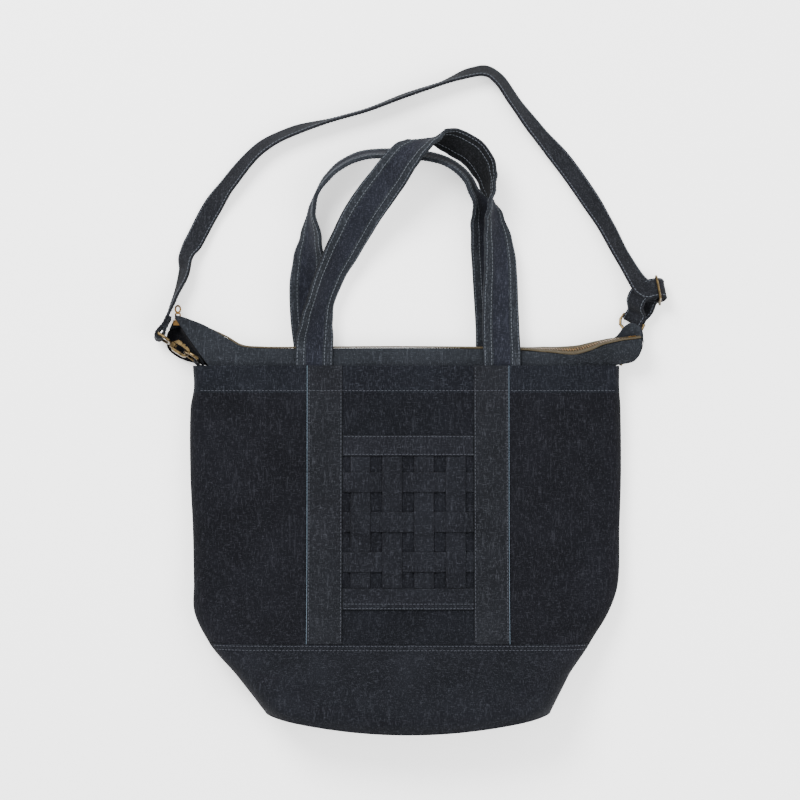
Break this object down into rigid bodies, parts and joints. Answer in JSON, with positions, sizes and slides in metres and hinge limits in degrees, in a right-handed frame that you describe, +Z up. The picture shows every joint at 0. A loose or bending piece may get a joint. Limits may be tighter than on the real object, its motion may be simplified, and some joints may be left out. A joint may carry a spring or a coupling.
{
  "type": "shoulder bag",
  "caption": "Soft denim tote lying flat, with boxed base, woven strip panel, zipped gusset, two carrying handles and a narrow clip-on shoulder strap.",
  "frame": {"origin": "middle of the bag's box at the floor that its back rests on", "axes": "+X to the right as the front is seen, +Y from the base towards the mouth and the handles, +Z up from the floor, out of the front"},
  "size_m": [0.4842, 0.627, 0.078],
  "materials": {
    "denim": "raw indigo denim, matte, slightly slubby",
    "pale_denim": "the same denim in a lighter shade, matte",
    "zip_tape": "olive brown woven zip tape, matte",
    "zip_brass": "polished brass, slightly worn",
    "antique_brass": "antique brass, dark in the hollows"
  },
  "bodies": {
    "bag": {"front_panel": "denim", "back_panel": "denim", "base_panel": "denim", "lattice_rail_top": "denim", "lattice_rail_bottom": "denim", "lattice_strip_v1": "denim", "lattice_strip_v2": "denim", "lattice_strip_v3": "denim", "lattice_strip_v4": "denim", "lattice_strip_h1": "denim", "lattice_strip_h2": "denim", "lattice_strip_h3": "denim", "handle_front": "denim", "handle_back": "denim", "shoulder_strap": "denim", "gusset_end_left": "denim", "gusset_end_right": "denim", "ring_tab_left": "denim", "ring_tab_right": "denim", "band_left": "pale_denim", "band_right": "pale_denim", "gusset_front": "pale_denim", "gusset_back": "pale_denim", "zipper_tape_front": "zip_tape", "zipper_tape_back": "zip_tape", "zipper_chain": "zip_brass", "zipper_stop": "zip_brass", "zipper_slider": "zip_brass", "strap_slider": "antique_brass", "hook_left_eye": "antique_brass", "hook_left_body": "antique_brass", "hook_right_eye": "antique_brass", "hook_right_body": "antique_brass", "ring_left": "antique_brass", "ring_right": "antique_brass"},
    "pull": {"zipper_pull": "zip_brass"},
    "gate_left": {"hook_left_gate": "antique_brass"},
    "gate_right": {"hook_right_gate": "antique_brass"}
  },
  "joints": [
    {"name": "pull_hinge", "type": "hinge", "parent": "bag", "child": "pull", "pos_m": [-0.21961, 0.07236, 0.01299], "axis": [1, 0, 0], "range_deg": [-60, 40]},
    {"name": "gate_left_hinge", "type": "hinge", "parent": "bag", "child": "gate_left", "pos_m": [-0.21681, 0.04899, 0.01769], "axis": [-0.0938, -0.146, -0.9848], "range_deg": [0, 25], "stiffness_Nm_per_rad": 0.002, "springref_deg": -17.19},
    {"name": "gate_right_hinge", "type": "hinge", "parent": "bag", "child": "gate_right", "pos_m": [0.20103, 0.05393, 0.00473], "axis": [-0.8601, 0.5101, -0.0002], "range_deg": [0, 25], "stiffness_Nm_per_rad": 0.002, "springref_deg": -17.19}
  ]
}
